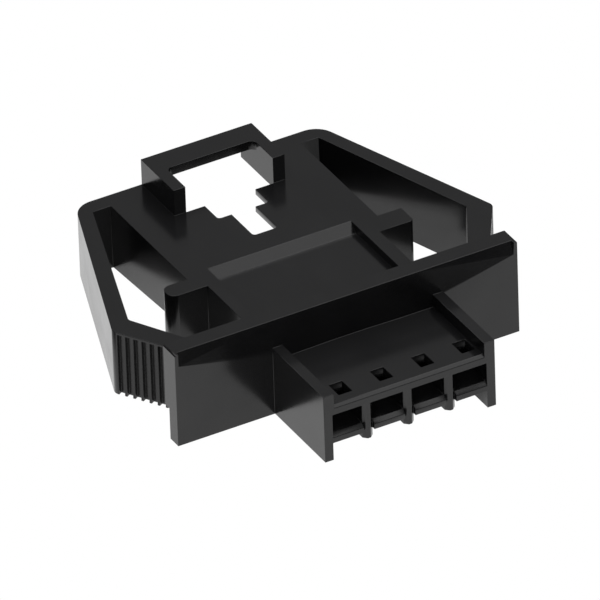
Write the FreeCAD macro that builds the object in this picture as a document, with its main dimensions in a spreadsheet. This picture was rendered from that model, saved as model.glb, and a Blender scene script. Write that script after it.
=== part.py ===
import FreeCAD, Part
import os
import re
import Sketcher

# Wire to board connector housing: one moulded piece of black thermoplastic, in millimetres.
# X runs across the row of cells, with 0 on the middle of the row. Y = 0 is the front face of the
# cross flange, and the mating nose points along -Y. Z = 0 is the plane that the housing stands on.

SIZES = {
    # The row of cells that hold the contacts
    "cell_count": 4,          # cells side by side
    "cell_pitch": 2.5,        # distance from cell to cell
    "cell_wall": 0.63,        # wall between two cells
    "cell_base": 1.6,         # height of the cell floor above the stand plane
    "cell_clear": 1.23,       # clear height of a cell
    "lead_edge": 0.18,        # edge left on a pointed wall at the mouth
    "lead_depth": 0.22,       # depth of the lead-in at the mouth
    "lead_drop": 0.2,         # how far the sill of a cell falls at the mouth
    # The mating nose
    "nose_reach": 5.45,       # length of the nose in front of the flange
    "nose_side": 0.52,        # side wall outside the end cells
    "nose_floor": 3.4,        # height of the sunk top face of the nose
    "rail_width": 0.64,       # width of the raised rail along each side
    "web_base": 1.06,         # underside of the web below the cells
    "rib_base": 0.62,         # lower edge of the ribs between the cells
    "latch_wide": 0.8,        # contact latch window, across
    "latch_long": 1.1,        # contact latch window, along
    "latch_front": 0.77,      # wall in front of a latch window
    "latch_shift": 0.3,       # latch window beside the middle of its cell
    "brow_bevel": 0.16,       # bevel along the top front edge of the nose
    # The cross flange
    "flange_left": 5.87,      # flange beyond the nose on the left
    "flange_right": 4.57,     # flange beyond the nose on the right
    "flange_tall": 5.75,      # height
    "flange_thin": 0.87,      # thickness at the foot
    "flange_thick": 1.3,      # thickness of the upper band
    "band_base": 1.95,        # lower edge of the thicker band
    "flange_round": 0.1,      # rounding of the top end corners
    "facet_tall": 3.06,       # height of the sloping front facets at mid flange
    "facet_end_tall": 0.75,   # height of the facets near the ends
    "facet_end": 0.22,        # flat left at each end of the flange
    "top_lean": 0.25,         # how far the top edge lies behind the front face
    "middle_half": 4.45,      # half width of the middle facet at the top edge
    # The deck behind the flange
    "deck_top": 4.15,         # height of the deck, the arms and the rails
    "deck_plate": 0.35,       # thickness of the deck plate
    "deck_side": 0.645,       # rear deck beyond the nose on each side
    "deck_front": 8.25,       # where the wider rear deck begins
    "deck_long": 9.38,        # length of the rear deck
    "body_under": 1.05,       # length of the solid body below the rear deck
    "skirt_wall": 0.6,        # thickness of the side skirts
    "skirt_base": 0.77,       # lower edge of the side skirts in front
    "frame_depth": 1.0,       # depth of the rear frame between a skirt and an arm
    "recess_side": 0.815,     # deck left on each side of the shallow recess
    "recess_long": 7.25,      # length of the recess behind the flange
    "recess_deep": 0.5,       # depth of the recess, and run of its rear ramp
    "ear_reach": 1.45,        # how far the stop ears stand out beyond the deck
    "ear_long": 1.4,          # length of the ears in front of the rear deck
    "ear_base": 0.4,          # lower edge of the ears
    "ear_round": 0.2,         # rounding of the front corners of the ears
    # The stepped slot and the bridge over it
    "slot_wide": 2.68,        # half width of the slot under the bridge
    "slot_mid": 1.55,         # half width of the middle step
    "slot_tip": 0.73,         # half width of the front step
    "slot_mid_long": 1.48,    # length of the middle step
    "slot_tip_long": 2.4,     # length of the front step
    "slot_round": 0.2,        # rounding of the slot corners
    "bridge_leg": 0.73,       # thickness of a bridge leg
    "bridge_long": 3.65,      # length of the legs along the deck
    "bridge_tall": 1.6,       # height of the bridge above the deck
    "bar_deep": 1.53,         # depth of the cross bar
    "bar_thick": 0.55,        # thickness of the cross bar
    "bar_round": 0.35,        # rounding where the bar meets the legs
    # The side arms
    "arm_base": 0.2,          # lower edge of the arms
    "arm_foot_side": 2.985,   # outer edge of the arm inside the flange, beyond the nose
    "arm_foot_wall": 1.22,    # width of the arm inside the flange
    "arm_knee_side": 3.46,    # how far the knee stands out beyond the foot
    "arm_knee_at": 5.93,      # distance from the flange front to the knee
    "arm_knee_wall": 1.09,    # width behind the knee, measured across
    "arm_rear_side": 1.64,    # outer rear corner beyond the deck
    "arm_rear_wall": 0.9,     # width at the rear frame, measured across
    "knee_back": 0.56,        # how far the inner knee lies behind the outer one
    "knee_round": 0.5,        # rounding of the outer knees
    "inner_round": 0.3,       # rounding of the inner knees
    "rear_round": 1.3,        # rounding of the outer rear corners
    "groove_count": 7,        # grip grooves on each arm
    "groove_pitch": 0.495,    # distance from groove to groove
    "groove_width": 0.34,     # width of a groove
    "groove_deep": 0.16,      # depth of a groove
    "groove_first": 0.45,     # from the knee to the middle of the first groove
    "groove_stop": 0.13,      # how far below the top face the grooves end
}

doc = FreeCAD.newDocument("connector_housing")
sheet = doc.addObject("Spreadsheet::Sheet", "dims")
for row, (alias, size) in enumerate(SIZES.items(), start=1):
    sheet.set(f"A{row}", alias.replace("_", " "))
    sheet.set(f"B{row}", str(size))
    sheet.setAlias(f"B{row}", alias)
doc.recompute()

body = doc.addObject("PartDesign::Body", "housing")
body.Label = "housing"

# Sizes that follow from the driving ones
CELL_WIDTH = "(cell_pitch - cell_wall)"
FIRST_CELL = "(-(cell_count - 1) * cell_pitch / 2)"
FIRST_WALL = f"({FIRST_CELL} + cell_pitch / 2)"
NOSE_HALF = "((cell_count * cell_pitch - cell_wall) / 2 + nose_side)"
FLANGE_LEFT = f"(-{NOSE_HALF} - flange_left)"
FLANGE_WIDTH = f"(2 * {NOSE_HALF} + flange_left + flange_right)"
FLANGE_MIDDLE = "((flange_right - flange_left) / 2)"
FACET_REACH = f"({FLANGE_WIDTH} / 2 - facet_end)"
FACET_LEAN = f"(top_lean / (facet_tall - (facet_tall - facet_end_tall) * middle_half / {FACET_REACH}))"
DECK_HALF = f"({NOSE_HALF} + deck_side)"
DECK_REAR = "(deck_front + deck_long)"
BODY_REAR = "(deck_front + body_under)"
SKIRT_IN = f"({DECK_HALF} - skirt_wall)"
FRAME_FRONT = f"({DECK_REAR} - frame_depth)"
PLATE_BASE = "(deck_top - deck_plate)"
RECESS_REAR = "(flange_thick + recess_long)"
EAR_HALF = f"({DECK_HALF} + ear_reach)"
EAR_FRONT = "(deck_front - ear_long)"
BRIDGE_FRONT = f"({DECK_REAR} - bridge_long)"
BRIDGE_HALF = "(slot_wide + bridge_leg)"
SLOT_MID_AT = f"({BRIDGE_FRONT} - slot_mid_long)"
SLOT_TIP_AT = f"({SLOT_MID_AT} - slot_tip_long)"
FOOT_AT = "(flange_thin / 2)"
FOOT_OUT = f"({NOSE_HALF} + arm_foot_side)"
KNEE_OUT = f"({FOOT_OUT} + arm_knee_side)"
REAR_OUT = f"({DECK_HALF} + arm_rear_side)"
ARM_SLOPE = f"(({KNEE_OUT} - {REAR_OUT}) / ({DECK_REAR} - arm_knee_at))"
INNER_KNEE = f"({KNEE_OUT} - knee_back * {ARM_SLOPE} - arm_knee_wall)"
INNER_REAR = f"({REAR_OUT} + frame_depth * {ARM_SLOPE} - arm_rear_wall)"


def bound(text):
    """An expression on the sheet: every plain word in the text is one of its aliases."""
    return re.sub(r"\b[a-z_]+\b(?!\()", r"dims.\g<0>", text)


def value(text):
    """What an expression comes to with the present sizes."""
    return float(sheet.evalExpression(bound(text)))


def origin_plane(role):
    return next(item for item in body.Origin.OriginFeatures if item.Role == role)


def sketch(name, role, outlines, lift=None):
    """Closed straight outlines on an origin plane; expressions hold every corner."""
    drawing = body.newObject("Sketcher::SketchObject", name)
    drawing.AttachmentSupport = [(origin_plane(role), "")]
    drawing.MapMode = "FlatFace"
    if lift:
        drawing.setExpression(".AttachmentOffset.Base.z", bound(lift))
    for corners in outlines:
        spots = [FreeCAD.Vector(value(across), value(along), 0) for across, along in corners]
        first = drawing.GeometryCount
        for index, spot in enumerate(spots):
            drawing.addGeometry(Part.LineSegment(spot, spots[(index + 1) % len(spots)]), False)
        for index in range(len(spots)):
            following = first + (index + 1) % len(spots)
            drawing.addConstraint(Sketcher.Constraint("Coincident", first + index, 2, following, 1))
        for index, corner in enumerate(corners):
            hold(drawing, first + index, 1, corner)
    return drawing


def hold(drawing, line, end, corner):
    """Ties one end of a line to the axes of the sketch, at the distances that the texts give."""
    for axis, kind, text in ((-2, "DistanceX", corner[0]), (-1, "DistanceY", corner[1])):
        if text == "0":
            drawing.addConstraint(Sketcher.Constraint("PointOnObject", line, end, axis))
            continue
        index = drawing.addConstraint(Sketcher.Constraint(kind, -1, 1, line, end, value(text)))
        drawing.setExpression(f"Constraints[{index}]", bound(text))


def rectangle(left, right, front, rear):
    return [(left, front), (right, front), (right, rear), (left, rear)]


def both_sides(corners):
    """An outline, and the same one on the other side of the row of cells."""
    return [corners, [(f"-({across})", along) for across, along in reversed(corners)]]


def both_ways(text):
    """The same distance to the left and to the right of the middle of the row."""
    return -value(text), value(text)


def pad(name, profile, length, symmetric=False):
    """Adds material along the normal of the sketch, or to both sides of it."""
    feature = body.newObject("PartDesign::Pad", name)
    feature.Profile = profile
    feature.SideType = "Symmetric" if symmetric else "One side"
    feature.setExpression("Length", bound(length))
    doc.recompute()
    return feature


def pocket(name, profile, length, symmetric=False):
    """Cuts against the normal of the sketch, or to both sides of it."""
    volume = body.Shape.Volume
    feature = body.newObject("PartDesign::Pocket", name)
    feature.Profile = profile
    feature.SideType = "Symmetric" if symmetric else "One side"
    feature.setExpression("Length", bound(length))
    doc.recompute()
    assert body.Shape.Volume < volume, f"{name} removes nothing"
    return feature


def lofted_cut(name, near, far):
    """Cuts the space between two outlines with straight sides."""
    volume = body.Shape.Volume
    feature = body.newObject("PartDesign::SubtractiveLoft", name)
    feature.Profile = near
    feature.Sections = [far]
    feature.Ruled = True
    doc.recompute()
    assert body.Shape.Volume < volume, f"{name} removes nothing"


def along_row(name, originals, count):
    """Repeats features along the row of cells, one cell pitch apart."""
    feature = body.newObject("PartDesign::LinearPattern", name)
    feature.Originals = originals
    feature.Direction = (originals[0].Profile[0], ["H_Axis"])
    feature.Mode = "Spacing"
    feature.setExpression("Offset", bound("cell_pitch"))
    feature.setExpression("Occurrences", bound(count))
    body.Tip = feature
    doc.recompute()


def edges_through(spots):
    """Names of the straight edges along the open axis whose middle lies on a given spot."""
    found = []
    for index, edge in enumerate(body.Shape.Edges, start=1):
        sides = (edge.BoundBox.XLength, edge.BoundBox.YLength, edge.BoundBox.ZLength)
        for spot in spots:
            near = [abs(seen - wanted) < 0.02
                    for seen, wanted in zip(edge.CenterOfMass, spot) if wanted is not None]
            if all(near) and sides[spot.index(None)] > 0.98 * edge.BoundBox.DiagonalLength:
                found.append(f"Edge{index}")
    return found


def dress(kind, name, spots, amount, figure="Radius"):
    """Rounds or bevels the edges that run along the open axis through the given spots."""
    base = body.Tip
    edges = edges_through(spots)
    assert edges, f"{name} finds no edge"
    feature = body.newObject(kind, name)
    feature.Base = (base, edges)
    feature.setExpression(figure, bound(amount))
    doc.recompute()


# Flange: an L profile, thinner at the foot, drawn from the side and run across the housing
flange = sketch("flange_profile", "YZ_Plane", [[
    ("0", "0"), ("flange_thin", "0"), ("flange_thin", "band_base"),
    ("flange_thick", "band_base"), ("flange_thick", "flange_tall"), ("0", "flange_tall"),
]], FLANGE_LEFT)
pad("flange_plate", flange, FLANGE_WIDTH)


def front_space(name, fall, lean, place):
    """Section of the space in front of a leaning face; its foot is that far below the top."""
    foot = f"flange_tall - {fall}"
    return sketch(name, "YZ_Plane", [[
        ("-flange_thin", foot), ("0", foot), (lean, "flange_tall"), ("-flange_thin", "flange_tall"),
    ]], f"{FLANGE_MIDDLE} + {place}")


# Flange front: a facet on each side leans back from a shallow V that is deepest at mid flange
for side, sign in (("left", "-1"), ("right", "1")):
    middle = front_space(f"facet_{side}_middle", "facet_tall", f"facet_tall * {FACET_LEAN}", "0")
    end = front_space(f"facet_{side}_end", "facet_end_tall", f"facet_end_tall * {FACET_LEAN}",
                      f"{sign} * {FACET_REACH}")
    lofted_cut(f"facet_{side}", middle, end)

# A third facet, a triangle that stands on the V, and a bevel to the ends keep the top edge straight
facet = sketch("middle_facet_profile", "YZ_Plane", [[
    ("0", "flange_tall - facet_tall"), ("flange_thin", "flange_tall - facet_tall"),
    ("flange_thin", "flange_tall"), ("top_lean", "flange_tall"),
]], f"{FLANGE_MIDDLE} - middle_half")
pad("middle_facet", facet, "2 * middle_half")
bevel = front_space("top_bevel_profile", "facet_end_tall", "top_lean", FACET_REACH)
pocket("top_bevel", bevel, f"2 * {FACET_REACH}")

# Core: the solid block that carries the cells, lower in the nose than in the deck behind the
# flange, with a raised rail along each side of the nose
core = sketch("core_profile", "YZ_Plane", [[
    ("-nose_reach", "0"), (BODY_REAR, "0"), (BODY_REAR, "deck_top"),
    ("flange_thin", "deck_top"), ("flange_thin", "nose_floor"), ("-nose_reach", "nose_floor"),
]])
pad("core_block", core, f"2 * {NOSE_HALF}", symmetric=True)
rails = sketch("rail_plan", "XY_Plane", both_sides(rectangle(
    f"{NOSE_HALF} - rail_width", NOSE_HALF, "-nose_reach", "flange_thin")), "nose_floor")
pad("nose_rails", rails, "deck_top - nose_floor")

# Rear deck: side profile with skirts that deepen toward the rear frame
deck = sketch("deck_profile", "YZ_Plane", [[
    ("deck_front", "deck_top"), ("deck_front", "skirt_base"), (FRAME_FRONT, "arm_base"),
    (DECK_REAR, "arm_base"), (DECK_REAR, "deck_top"),
]])
pad("deck_block", deck, f"2 * {DECK_HALF}", symmetric=True)

# Ears: two lugs that stand out beside the front edge of the rear deck
ears = sketch("ear_plan", "XY_Plane", [
    rectangle(f"-{EAR_HALF}", EAR_HALF, EAR_FRONT, "deck_front")], "ear_base")
pad("ears", ears, "deck_top - ear_base")

# Arms: a bent bar on each side, from the flange out to a knee and back to the rear frame
arms = sketch("arm_plan", "XY_Plane", both_sides([
    (FOOT_OUT, FOOT_AT), (KNEE_OUT, "arm_knee_at"), (REAR_OUT, DECK_REAR),
    (SKIRT_IN, DECK_REAR), (SKIRT_IN, FRAME_FRONT), (INNER_REAR, FRAME_FRONT),
    (INNER_KNEE, "arm_knee_at + knee_back"), (f"{FOOT_OUT} - arm_foot_wall", FOOT_AT),
]), "arm_base")
pad("arms", arms, "deck_top - arm_base")

# Hollow below the deck plate, between the skirts and open to the rear
hollow = sketch("hollow_plan", "XY_Plane", [rectangle(
    f"-{SKIRT_IN}", SKIRT_IN, BODY_REAR, f"{DECK_REAR} + frame_depth")], PLATE_BASE)
pocket("deck_hollow", hollow, "deck_top")

# Bridge over the slot: two legs that carry a cross bar flush with the rear face
legs = sketch("bridge_leg_plan", "XY_Plane", both_sides(rectangle(
    "slot_wide", BRIDGE_HALF, BRIDGE_FRONT, DECK_REAR)), PLATE_BASE)
pad("bridge_legs", legs, "deck_plate + bridge_tall")
bar = sketch("bridge_bar_plan", "XY_Plane", [rectangle(
    f"-{BRIDGE_HALF}", BRIDGE_HALF, f"{DECK_REAR} - bar_deep", DECK_REAR)],
    "deck_top + bridge_tall - bar_thick")
pad("bridge_bar", bar, "bar_thick")

# Stepped slot: narrow in front, full width under the bridge, open through the rear face
slot = sketch("slot_plan", "XY_Plane", [[
    ("-slot_wide", f"{DECK_REAR} + frame_depth"), ("-slot_wide", BRIDGE_FRONT),
    ("-slot_mid", BRIDGE_FRONT), ("-slot_mid", SLOT_MID_AT),
    ("-slot_tip", SLOT_MID_AT), ("-slot_tip", SLOT_TIP_AT),
    ("slot_tip", SLOT_TIP_AT), ("slot_tip", SLOT_MID_AT),
    ("slot_mid", SLOT_MID_AT), ("slot_mid", BRIDGE_FRONT),
    ("slot_wide", BRIDGE_FRONT), ("slot_wide", f"{DECK_REAR} + frame_depth"),
]], "deck_top")
pocket("stepped_slot", slot, "2 * deck_plate")

# Shallow recess in the deck behind the flange, with a ramp up to the rear deck
recess = sketch("recess_profile", "YZ_Plane", [[
    ("flange_thick", "deck_top - recess_deep"),
    (f"{RECESS_REAR} - recess_deep", "deck_top - recess_deep"),
    (f"{RECESS_REAR} + recess_deep", "deck_top + recess_deep"),
    ("flange_thick", "deck_top + recess_deep"),
]])
pocket("deck_recess", recess, f"2 * ({NOSE_HALF} - recess_side)", symmetric=True)

# Nose underside: hollow between its side walls, with a rib below each wall between two cells
under = sketch("nose_underside_plan", "XY_Plane", [rectangle(
    f"-({NOSE_HALF} - nose_side)", f"{NOSE_HALF} - nose_side", "-nose_reach - nose_side", "0")],
    "web_base")
pocket("nose_underside", under, "2 * web_base")
rib = sketch("first_rib_profile", "XZ_Plane", [rectangle(
    f"{FIRST_WALL} - cell_wall / 2", f"{FIRST_WALL} + cell_wall / 2", "rib_base", "web_base")])
rib_pad = pad("first_rib", rib, "nose_reach")
along_row("ribs", [rib_pad], "cell_count - 1")

# Cells: each runs from a falling sill at the mouth to the rear of the core, with a latch window
cell = sketch("first_cell_profile", "XZ_Plane", [rectangle(
    f"{FIRST_CELL} - {CELL_WIDTH} / 2", f"{FIRST_CELL} + {CELL_WIDTH} / 2",
    "cell_base", "cell_base + cell_clear")], "nose_reach")
cell_cut = pocket("first_cell", cell, f"nose_reach + {BODY_REAR} + nose_side")
sill = sketch("first_sill_profile", "YZ_Plane", [[
    ("-nose_reach", "cell_base"), ("-nose_reach", "cell_base - lead_drop"),
    ("-nose_reach + lead_depth", "cell_base"),
]], f"{FIRST_CELL} + {CELL_WIDTH} / 2")
sill_cut = pocket("first_sill", sill, CELL_WIDTH)
latch = sketch("first_latch_plan", "XY_Plane", [rectangle(
    f"{FIRST_CELL} + latch_shift - latch_wide / 2", f"{FIRST_CELL} + latch_shift + latch_wide / 2",
    "-nose_reach + latch_front", "-nose_reach + latch_front + latch_long")], "nose_floor")
latch_cut = pocket("first_latch", latch, "nose_floor - cell_base - cell_clear / 2")
along_row("cells", [cell_cut, sill_cut, latch_cut], "cell_count")

# Lead-ins: the walls between the cells, and the ribs below them, come to a point at the mouth
point = sketch("first_point_plan", "XY_Plane", [
    [(f"{FIRST_WALL} {sign} cell_wall / 2", "-nose_reach"),
     (f"{FIRST_WALL} {sign} lead_edge / 2", "-nose_reach"),
     (f"{FIRST_WALL} {sign} cell_wall / 2", "-nose_reach + lead_depth")] for sign in "-+"],
    "cell_base + cell_clear")
point_cut = pocket("first_point", point, "cell_base + cell_clear - rib_base")
along_row("points", [point_cut], "cell_count - 1")

# Grip grooves: upright channels across the front run of each arm, square to its outer face
RUN_X = f"({KNEE_OUT} - {FOOT_OUT})"
RUN_Y = f"(arm_knee_at - {FOOT_AT})"
RUN = f"sqrt({RUN_X} * {RUN_X} + {RUN_Y} * {RUN_Y})"


def on_grip(down, inward):
    """A point so far down the front run from the knee and so far inside its outer face."""
    across = f"{KNEE_OUT} - (({down}) * {RUN_X} + ({inward}) * {RUN_Y}) / {RUN}"
    along = f"arm_knee_at - (({down}) * {RUN_Y} - ({inward}) * {RUN_X}) / {RUN}"
    return across, along


groove = sketch("first_groove_plan", "XY_Plane", [[
    on_grip("groove_first - groove_width / 2", "-groove_deep"),
    on_grip("groove_first - groove_width / 2", "groove_deep"),
    on_grip("groove_first + groove_width / 2", "groove_deep"),
    on_grip("groove_first + groove_width / 2", "-groove_deep"),
]], "deck_top - groove_stop")
knee = FreeCAD.Vector(value(KNEE_OUT), value("arm_knee_at"), 0)
foot = FreeCAD.Vector(value(FOOT_OUT), value(FOOT_AT), 0)
run_line = groove.addGeometry(Part.LineSegment(knee, foot), True)
hold(groove, run_line, 1, (KNEE_OUT, "arm_knee_at"))
hold(groove, run_line, 2, (FOOT_OUT, FOOT_AT))
groove_cut = pocket("first_groove", groove, "deck_top")
grooves = body.newObject("PartDesign::MultiTransform", "grip_grooves")
grooves.Originals = [groove_cut]
row_of_grooves = body.newObject("PartDesign::LinearPattern", "groove_row")
row_of_grooves.Direction = (groove, ["Axis0"])
row_of_grooves.Mode = "Spacing"
row_of_grooves.setExpression("Offset", bound("groove_pitch"))
row_of_grooves.setExpression("Occurrences", bound("groove_count"))
other_side = body.newObject("PartDesign::Mirrored", "groove_mirror")
other_side.MirrorPlane = (origin_plane("YZ_Plane"), [""])
grooves.Transformations = [row_of_grooves, other_side]
body.Tip = grooves
doc.recompute()

# Rounded corners
dress("PartDesign::Fillet", "rear_corners", [
    (x, value(DECK_REAR), None) for x in both_ways(REAR_OUT)], "rear_round")
dress("PartDesign::Fillet", "knees", [
    (x, value("arm_knee_at"), None) for x in both_ways(KNEE_OUT)], "knee_round")
dress("PartDesign::Fillet", "inner_knees", [
    (x, value("arm_knee_at + knee_back"), None) for x in both_ways(INNER_KNEE)], "inner_round")
dress("PartDesign::Fillet", "ear_corners", [
    (x, value(EAR_FRONT), None) for x in both_ways(EAR_HALF)], "ear_round")
dress("PartDesign::Fillet", "flange_corners", [
    (value(x), None, value("flange_tall")) for x in (FLANGE_LEFT, f"{FLANGE_LEFT} + {FLANGE_WIDTH}")
], "flange_round")
dress("PartDesign::Fillet", "slot_corners", [
    (x, value(y), None) for half, y in (("slot_tip", SLOT_TIP_AT), ("slot_mid", SLOT_MID_AT))
    for x in both_ways(half)], "slot_round")
dress("PartDesign::Fillet", "bar_corners", [
    (x, value(f"{DECK_REAR} - bar_deep"), None) for x in both_ways("slot_wide")], "bar_round")
dress("PartDesign::Chamfer", "nose_brow", [
    (None, value("-nose_reach"), value("nose_floor"))], "brow_bevel", "Size")

doc.recompute()
for item in doc.Objects:
    assert "Invalid" not in item.State and "Error" not in item.State, f"{item.Name} failed"
shape = body.Shape
assert not shape.isNull() and shape.isValid() and len(shape.Solids) == 1, "housing is not one solid"
os.makedirs("parts", exist_ok=True)
shape.exportStep(f"parts/{body.Label}.step")
box = shape.BoundBox
print(f"housing {box.XLength:.2f} x {box.YLength:.2f} x {box.ZLength:.2f} mm, {shape.Volume:.1f} mm3")
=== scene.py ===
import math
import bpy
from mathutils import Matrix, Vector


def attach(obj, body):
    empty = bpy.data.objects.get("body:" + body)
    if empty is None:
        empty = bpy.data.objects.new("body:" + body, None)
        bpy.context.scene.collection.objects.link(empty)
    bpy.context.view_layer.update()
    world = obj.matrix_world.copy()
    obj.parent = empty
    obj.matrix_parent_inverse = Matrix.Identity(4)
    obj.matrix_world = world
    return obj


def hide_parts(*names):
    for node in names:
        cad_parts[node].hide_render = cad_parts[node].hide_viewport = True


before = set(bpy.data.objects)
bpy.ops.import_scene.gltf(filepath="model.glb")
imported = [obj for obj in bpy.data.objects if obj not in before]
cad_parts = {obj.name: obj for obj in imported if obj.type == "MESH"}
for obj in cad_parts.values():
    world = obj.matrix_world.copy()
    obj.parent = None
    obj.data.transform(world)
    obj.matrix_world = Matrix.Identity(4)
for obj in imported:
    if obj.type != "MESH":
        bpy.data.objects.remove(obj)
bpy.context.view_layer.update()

# %% [markdown]
# A wire to board connector housing is one small injection moulding, about 23 mm long. The imported
# solid already has its walls, cells and arms, so this lesson is about the soft edges and the skin
# of the plastic, the light of a product table, and a camera that sees it as the photograph does.

MM = 0.001
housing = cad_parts["housing"]


# %% [markdown]
# Colours are easiest to judge as the hex values of a picture editor. Blender works with linear
# light, so one function turns a hex value into linear red, green and blue.

# %% Colour helper
def linear(hex_colour):
    """A hex colour as linear red, green, blue and a full alpha."""
    shares = [int(hex_colour[start:start + 2], 16) / 255 for start in (0, 2, 4)]
    light = [share / 12.92 if share <= 0.04045 else ((share + 0.055) / 1.055) ** 2.4
             for share in shares]
    return (*light, 1.0)


print("808080 looks half bright, and its linear light is", round(linear("808080")[0], 3))


# %% [markdown]
# A material is a small net of nodes. One function adds a node with its settings, its input
# values and the links that feed it, so each recipe below reads from top to bottom.

# %% Node helper
def add_node(tree, kind, settings=None, inputs=None, links=None):
    """One node with its settings, input values and incoming links."""
    node = tree.nodes.new(kind)
    for name, setting in (settings or {}).items():
        setattr(node, name, setting)
    for name, number in (inputs or {}).items():
        node.inputs[name].default_value = number
    for name, output in (links or {}).items():
        tree.links.new(output, node.inputs[name])
    return node


# %% [markdown]
# No moulded edge is a razor: the tool steel has a small radius, and the parts rub each other
# smooth in the bag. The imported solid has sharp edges, so a copy of it is softened. The copy could
# be remeshed instead, but that would melt its narrow grooves, so its edges are bevelled. Its loose
# triangles are merged first and its flat faces joined, or the bevel would stop at every seam.

# %% Soft edged copy
MERGE_GAP = 0.001 * MM
FLAT_ANGLE = math.radians(0.5)
bpy.ops.object.select_all(action="DESELECT")
housing.select_set(True)
bpy.context.view_layer.objects.active = housing
bpy.ops.object.duplicate()
moulding = bpy.context.active_object
moulding.name = "moulded_housing"
for mark in list(moulding.keys()):
    del moulding[mark]

bpy.ops.object.mode_set(mode="EDIT")
bpy.ops.mesh.select_all(action="SELECT")
bpy.ops.mesh.remove_doubles(threshold=MERGE_GAP)
bpy.ops.mesh.normals_make_consistent(inside=False)
bpy.ops.mesh.dissolve_limited(angle_limit=FLAT_ANGLE)
bpy.ops.object.mode_set(mode="OBJECT")
bpy.ops.mesh.customdata_custom_splitnormals_clear()
print("merged copy:", len(moulding.data.vertices), "points,", len(moulding.data.polygons), "faces")

# %% [markdown]
# The photograph shows two things finer than the solid: the left stop ear ends in a full round,
# and the grip grooves are deep enough to stay dark. Both are pushed one by one. Points are picked
# by their place, because an operator acts on whatever is selected.

# %% Picking and pushing points
NEAR = 0.01        # mm, how close a point has to be to a line that it is picked by


def pick(piece, wanted):
    """Select the points of a piece that lie where the test says, and enter edit mode."""
    bpy.ops.object.mode_set(mode="EDIT")
    bpy.ops.mesh.select_mode(type="VERT")
    bpy.ops.mesh.select_all(action="DESELECT")
    bpy.ops.object.mode_set(mode="OBJECT")
    found = [point for point in piece.data.vertices if wanted(point.co / MM)]
    for point in found:
        point.select = True
    bpy.ops.object.mode_set(mode="EDIT")
    return len(found)


def push(piece, wanted, shift_mm):
    """Move the picked points of a piece."""
    count = pick(piece, wanted)
    bpy.ops.transform.translate(value=Vector(shift_mm) * MM)
    bpy.ops.object.mode_set(mode="OBJECT")
    print("pushed", count, "points by", tuple(round(value, 3) for value in shift_mm), "mm")


# %% [markdown]
# The stop ears stand out from the deck and catch the side arms when these are squeezed. The left
# one is thinner and rounder than in the solid. Its front face is pushed back and its end outwards,
# and the small round between them is scaled up about its own middle, which keeps it a true arc.
# The back edge of the end is still square, so a bevel gives it the same round.

# %% Left ear
EAR_FRONT, EAR_BACK = 6.85, 8.25                      # mm along Y
EAR_END, EAR_ROOT, EAR_ROUND = -7.3, -5.205, 0.2      # mm along X, and the round in the solid
NEW_FRONT, NEW_END, NEW_ROUND = 7.12, -7.44, 0.5
ROUND_STEPS = 7
old_centre = Vector((EAR_END + EAR_ROUND, EAR_FRONT + EAR_ROUND, 0))
new_centre = Vector((NEW_END + NEW_ROUND, NEW_FRONT + NEW_ROUND, 0))
growth = NEW_ROUND / EAR_ROUND

push(moulding, lambda at: abs(at.x - EAR_ROOT) < NEAR and abs(at.y - EAR_FRONT) < NEAR,
     (0, NEW_FRONT - EAR_FRONT, 0))
push(moulding, lambda at: abs(at.x - EAR_END) < NEAR and abs(at.y - EAR_BACK) < NEAR,
     (NEW_END - EAR_END, 0, 0))
pick(moulding, lambda at: EAR_END - NEAR < at.x < old_centre.x + NEAR
     and EAR_FRONT - NEAR < at.y < old_centre.y + NEAR)
bpy.ops.transform.resize(value=(growth, growth, 1), center_override=old_centre * MM)
bpy.ops.transform.translate(value=(new_centre - old_centre) * MM)
bpy.ops.object.mode_set(mode="OBJECT")
ends = pick(moulding, lambda at: abs(at.x - NEW_END) < NEAR and abs(at.y - EAR_BACK) < NEAR)
bpy.ops.mesh.bevel(offset=NEW_ROUND * MM, segments=ROUND_STEPS)
bpy.ops.object.mode_set(mode="OBJECT")
print("rounded the back edge of the ear between", ends, "points")

# %% [markdown]
# Seven upright grooves near the front of each arm give the fingers a grip. Their floors lie in one
# plane, square to the arm's outer face, so one push inwards makes all seven deeper. New grooves
# could be cut instead, but the pushed ones keep their clean corners.

# %% Grip grooves
ARM_NORMAL = Vector((0.846, -0.533, 0)).normalized()      # outwards from the right arm's grip
GROOVE_FLOOR, FLOOR_GAP = 6.539, 0.004                    # mm along that normal
GRIP_FROM, GRIP_TO, GRIP_OUT = 2.5, 6.5, 8.0              # mm along Y twice, then along X
DEEPER = 0.08
for side in (-1, 1):
    out = Vector((side * ARM_NORMAL.x, ARM_NORMAL.y, 0))
    push(moulding, lambda at: abs(at.dot(out) - GROOVE_FLOOR) < FLOOR_GAP
         and GRIP_FROM < at.y < GRIP_TO and at.x * side > GRIP_OUT, -DEEPER * out)

# %% [markdown]
# The facets under the top of the flange lean by only a few degrees, about as much as two strips
# of a round do. Smooth shading would blur both. So where two large flat faces meet at such a
# shallow angle, the crease is marked sharp, and the narrow strips of the rounds stay smooth.

# %% Creases between large faces
LARGE_FACE = 1.5 * MM * MM
FLATTEST, STEEPEST = math.radians(2), math.radians(30)


def crease_large_faces(piece):
    """Mark the shallow edges between two large faces as sharp, and count them."""
    faces_at = {}
    for face in piece.data.polygons:
        for key in face.edge_keys:
            faces_at.setdefault(key, []).append(face)
    creases = 0
    for edge in piece.data.edges:
        first, second = faces_at[edge.key]
        large = min(first.area, second.area) > LARGE_FACE
        if large and FLATTEST < first.normal.angle(second.normal) < STEEPEST:
            edge.use_edge_sharp = True
            creases += 1
    return creases


print("creases between large faces:", crease_large_faces(moulding))

# %% [markdown]
# The bevel rounds each edge steeper than 30 degrees by two hundredths of a millimetre, less than
# half a pixel of the picture, and gives the new strips the second material. The Weighted Normal
# modifier then lets the large flat faces keep their flat shine.

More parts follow.
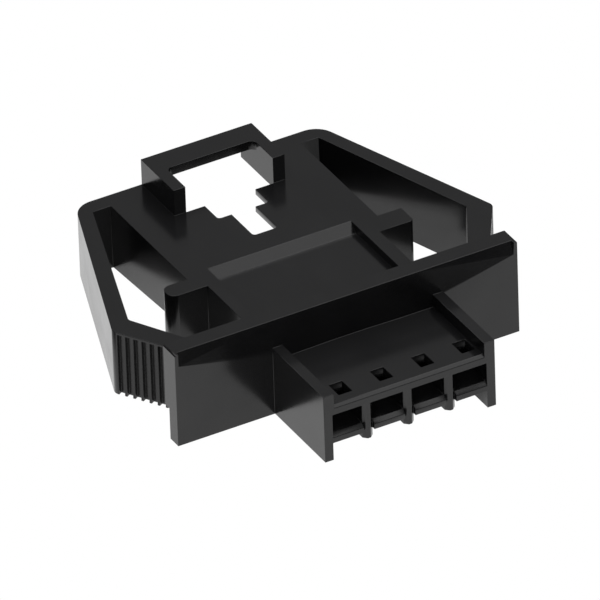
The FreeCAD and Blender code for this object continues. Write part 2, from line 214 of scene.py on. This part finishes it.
# %% Bevel
EDGE_ROUND = 0.022 * MM
bevel = moulding.modifiers.new("soft_edges", "BEVEL")
bevel.width = EDGE_ROUND
bevel.segments = 3
bevel.limit_method = "ANGLE"
bevel.angle_limit = STEEPEST
bevel.use_clamp_overlap = False
bevel.miter_outer = "MITER_ARC"
bevel.material = 1
moulding.data.materials.clear()
bpy.ops.object.modifier_apply(modifier="soft_edges")
bpy.ops.object.shade_smooth_by_angle(angle=math.radians(35))
weights = moulding.modifiers.new("flat_faces_win", "WEIGHTED_NORMAL")
weights.weight = 80
weights.keep_sharp = True
bpy.ops.object.modifier_apply(modifier="flat_faces_win")
print("soft edged copy:", len(moulding.data.polygons), "faces")

# %% [markdown]
# Glass filled PBT, the usual plastic of such housings, leaves a fine ground mould with a semi
# gloss skin. Black pigment absorbs nearly all the light that enters, so what the eye sees is
# mostly the soft reflection off the skin, broken up by the glass fibres just below it. A fibre is
# only about 0.01 mm thick, too fine to show, so the grain is drawn ten times as coarse. The melt
# also leaves cloudy flow marks as it fills the tool. They are 2.5 mm wide, one cell of the row, and
# stretched along the way the melt runs.

# %% Moulded PBT
DARK_HEX, LIGHT_HEX = "161617", "1C1C1D"
FIBRE_PERIOD = 0.12 * MM
FLOW_PERIOD = 2.5 * MM
FLOW_STRETCH = (1.0, 0.4, 1.0)
FIBRE_RELIEF = 0.004 * MM


def moulded_black_pbt(name, smoothest, roughest):
    """Black PBT with fibre grain and flow marks, between two roughness values."""
    material = bpy.data.materials.new(name)
    material.use_nodes = True
    tree = material.node_tree
    tree.nodes.clear()
    place = add_node(tree, "ShaderNodeTexCoord")
    fibres = add_node(tree, "ShaderNodeTexNoise", None, {
        "Scale": 1 / FIBRE_PERIOD, "Detail": 3.0, "Roughness": 0.6},
        {"Vector": place.outputs["Object"]})
    along = add_node(tree, "ShaderNodeMapping", None, {"Scale": FLOW_STRETCH},
                     {"Vector": place.outputs["Object"]})
    flow = add_node(tree, "ShaderNodeTexNoise", None, {
        "Scale": 1 / FLOW_PERIOD, "Detail": 3.0, "Roughness": 0.5, "Distortion": 0.6},
        {"Vector": along.outputs["Vector"]})
    shade = add_node(tree, "ShaderNodeMix", {"data_type": "RGBA"}, {
        6: linear(DARK_HEX), 7: linear(LIGHT_HEX)}, {0: flow.outputs["Fac"]})
    gloss = add_node(tree, "ShaderNodeMapRange", None, {
        "From Min": 0.3, "From Max": 0.7, "To Min": smoothest, "To Max": roughest},
        {"Value": flow.outputs["Fac"]})
    bump = add_node(tree, "ShaderNodeBump", None, {
        "Strength": 0.15, "Distance": FIBRE_RELIEF}, {"Height": fibres.outputs["Fac"]})
    skin = add_node(tree, "ShaderNodeBsdfPrincipled", None, {"IOR": 1.5}, {
        "Base Color": shade.outputs[2], "Roughness": gloss.outputs["Result"],
        "Normal": bump.outputs["Normal"]})
    add_node(tree, "ShaderNodeOutputMaterial", None, None, {"Surface": skin.outputs["BSDF"]})
    print(name, "has roughness", smoothest, "to", roughest)
    return material


# %% [markdown]
# The faces keep the polish of the tool. The rounded edges are the same plastic, but rubbed a
# little duller by the other parts in the bag, so they have the same recipe with more roughness.
# The new piece stands for the imported node from here on, which is hidden, and rides on the root
# body.

# %% Skin and rubbed edges
skin = moulded_black_pbt("moulded_black_pbt", 0.15, 0.21)
rubbed = moulded_black_pbt("rubbed_black_pbt", 0.26, 0.34)
housing.data.materials.clear()
housing.data.materials.append(skin)
moulding.data.materials.append(skin)
moulding.data.materials.append(rubbed)
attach(moulding, "root")
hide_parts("housing")

# %% [markdown]
# The housing lies on a plain sheet of matte white paper. It is 0.01 mm below the part, so that the
# two never flicker into each other.

# %% Floor
FLOOR_SIZE = 900 * MM
bpy.ops.object.select_all(action="DESELECT")
bpy.ops.mesh.primitive_plane_add(size=FLOOR_SIZE, location=(0, 0, -0.01 * MM))
floor = bpy.context.active_object
floor.name = "floor"
print("floor is", round(FLOOR_SIZE / MM), "mm wide")


# %% [markdown]
# The paper is plain white to the camera, and an ordinary matte white for the light, so the part
# keeps a soft shadow. Black gloss shows what it mirrors: on the real table it mirrors the paper
# around it as white, and the far edge of the paper as dark. Rays that bounce off the part see a
# painted reflection of the paper instead: a glow that is white where the ray falls steeply and
# fades where it meets the paper at a low angle. Close to the part an ambient occlusion test paints
# shadow into that glow, where the part shades the paper.

# %% White paper
# Numbers of the painted reflection's fade at low angles, and of the painted shadow near the part.
NEAR_FACING, FAR_FACING, FAR_GLOW = 0.46, 0.66, 0.04      # how low the ray runs, and what it sees
SHADE_REACH = 8 * MM
SHADE_OPEN = (0.03, 0.22)      # share of open sky where the paper is darkest, and where it is white
SHADE_GLOW = 0.3


def white_sheet():
    """Matte white paper: plain white to camera and clear rays, a painted reflection and shadow to
    mirror rays.
    """
    material = bpy.data.materials.new("matte_white_sheet")
    material.use_nodes = True
    tree = material.node_tree
    tree.nodes.clear()
    matte = add_node(tree, "ShaderNodeBsdfDiffuse", None, {"Color": linear("F4F4F4")})
    glow = add_node(tree, "ShaderNodeEmission", None, {
        "Color": linear("FFFFFF"), "Strength": 1.0})
    path = add_node(tree, "ShaderNodeLightPath")
    facing = add_node(tree, "ShaderNodeLayerWeight", None, {"Blend": 0.5})
    # Painted reflection: full white for rays that fall steeply, down to a faint glow at low angles.
    painted_angle_fade = add_node(tree, "ShaderNodeMapRange", {"interpolation_type": "SMOOTHSTEP"}, {
        "From Min": NEAR_FACING, "From Max": FAR_FACING, "To Min": 1.0, "To Max": FAR_GLOW},
        {"Value": facing.outputs["Facing"]})
    # Painted shadow: an ambient occlusion test darkens the glow close to the part.
    open_sky = add_node(tree, "ShaderNodeAmbientOcclusion", {"samples": 8},
                        {"Distance": SHADE_REACH})
    painted_shade_near_part = add_node(tree, "ShaderNodeMapRange", {"interpolation_type": "SMOOTHSTEP"}, {
        "From Min": SHADE_OPEN[0], "From Max": SHADE_OPEN[1], "To Min": SHADE_GLOW,
        "To Max": 1.0}, {"Value": open_sky.outputs["AO"]})
    # The painted reflection times the painted shadow gives the strength of the glow for mirror
    # rays.
    painted_glow_strength = add_node(tree, "ShaderNodeMath", {"operation": "MULTIPLY"}, None,
                   {0: painted_angle_fade.outputs["Result"], 1: painted_shade_near_part.outputs["Result"]})
    painted_reflection = add_node(tree, "ShaderNodeEmission", None, {"Color": linear("FFFFFF")},
                        {"Strength": painted_glow_strength.outputs["Value"]})
    seen = add_node(tree, "ShaderNodeMixShader", None, None, {
        0: path.outputs["Is Camera Ray"], 1: matte.outputs["BSDF"],
        2: glow.outputs["Emission"]})
    glossy = add_node(tree, "ShaderNodeMixShader", None, None, {
        0: path.outputs["Is Glossy Ray"], 1: seen.outputs["Shader"],
        2: painted_reflection.outputs["Emission"]})
    through = add_node(tree, "ShaderNodeMixShader", None, None, {
        0: path.outputs["Is Transmission Ray"], 1: glossy.outputs["Shader"],
        2: glow.outputs["Emission"]})
    add_node(tree, "ShaderNodeOutputMaterial", None, None,
             {"Surface": through.outputs["Shader"]})
    return material


floor.data.materials.append(white_sheet())
print("floor material:", floor.data.materials[0].name)

# %% [markdown]
# A light tent surrounds the table, a little brighter in front of the part than behind it, where a
# lamp takes over. The world stands for its cloth. Only the camera sees it as plain white.

# %% Tent
TENT_FRONT, TENT_BEHIND = 0.12, 0.09
TENT_TURN = 0.6      # how far forward and back the change between the two reaches
world = bpy.data.worlds.new("light_tent")
bpy.context.scene.world = world
world.use_nodes = True
tent = world.node_tree
tent.nodes.clear()
ray = add_node(tent, "ShaderNodeTexCoord")
split = add_node(tent, "ShaderNodeSeparateXYZ", None, None, {"Vector": ray.outputs["Generated"]})
behind = add_node(tent, "ShaderNodeMapRange", {"interpolation_type": "SMOOTHSTEP"}, {
    "From Min": -TENT_TURN, "From Max": TENT_TURN, "To Min": TENT_FRONT,
    "To Max": TENT_BEHIND}, {"Value": split.outputs["Y"]})
cloth = add_node(tent, "ShaderNodeBackground", None, {"Color": linear("FFFFFF")},
                 {"Strength": behind.outputs["Result"]})
paper = add_node(tent, "ShaderNodeBackground", None, {
    "Color": linear("FFFFFF"), "Strength": 1.0})
path = add_node(tent, "ShaderNodeLightPath")
seen = add_node(tent, "ShaderNodeMixShader", None, None, {
    0: path.outputs["Is Camera Ray"], 1: cloth.outputs["Background"],
    2: paper.outputs["Background"]})
add_node(tent, "ShaderNodeOutputWorld", None, None, {"Surface": seen.outputs["Shader"]})
print("tent gives", TENT_FRONT, "in front and", TENT_BEHIND, "behind")

# %% [markdown]
# Three lamps shine through the cloth: a wide one in the roof, a small one in front and above, to
# the right, and a long strip behind. The small one lights up the ramp in the deck and the front
# edges, and the strip is what the flat tops mirror towards the camera.

# %% Lamps
AIM_AT = Vector((0, 5, 0)) * MM


def soft_lamp(name, place_mm, wide_mm, high_mm, watts):
    """One rectangular lamp that faces the housing."""
    place = Vector(place_mm) * MM
    bpy.ops.object.light_add(type="AREA", location=place)
    lamp = bpy.context.active_object
    lamp.name = name
    lamp.data.shape = "RECTANGLE"
    lamp.data.size = wide_mm * MM
    lamp.data.size_y = high_mm * MM
    lamp.data.energy = watts
    lamp.rotation_euler = (place - AIM_AT).to_track_quat("Z", "Y").to_euler()
    print(name, "hangs at", place_mm, "mm and gives", watts, "W")


soft_lamp("tent_roof", (0, 40, 260), 320, 320, 0.52)
soft_lamp("front_softbox", (97, -137, 182), 120, 120, 0.055)
soft_lamp("rear_strip", (125, 235, 150), 420, 130, 0.030)

# %% [markdown]
# The photograph is taken from far away with a long lens, so parallel edges stay parallel. Three
# measured directions fix such a camera: where one millimetre along X, Y and Z goes in the picture.
# Their parts to the right and upwards are the two vectors below, and the camera looks along what
# is square to both.

# %% Camera
FRAME_PX = 600
PX_PER_MM = 18.8
RIGHT = Vector((16.38, -9.203, -0.545)).normalized()
UP = Vector((5.489, 8.835, 15.66)).normalized()
BACK = RIGHT.cross(UP)
ORIGIN_PX = (360.4, 385.05)      # where the origin of the frame lies in the picture
DISTANCE = 900 * MM

centre_px = (FRAME_PX / 2 - ORIGIN_PX[0], ORIGIN_PX[1] - FRAME_PX / 2)
target = (RIGHT * centre_px[0] + UP * centre_px[1]) / PX_PER_MM * MM
data = bpy.data.cameras.new("long_lens")
camera = bpy.data.objects.new("long_lens", data)
bpy.context.scene.collection.objects.link(camera)
camera.matrix_world = Matrix.Translation(target + BACK * DISTANCE) @ Matrix(
    (RIGHT, BACK.cross(RIGHT), BACK)).transposed().to_4x4()
data.sensor_width = 36
data.lens = data.sensor_width * DISTANCE / (FRAME_PX / PX_PER_MM * MM)
data.clip_start = 10 * MM
data.clip_end = 5
bpy.context.scene.camera = camera
bpy.context.scene.view_settings.view_transform = "Standard"
print("lens of", round(data.lens), "mm,", round(DISTANCE / MM), "mm away")

# %% [markdown]
# A softened edge must not make the part larger.

print("soft edged housing, paper, tent, lamps and camera are set up")
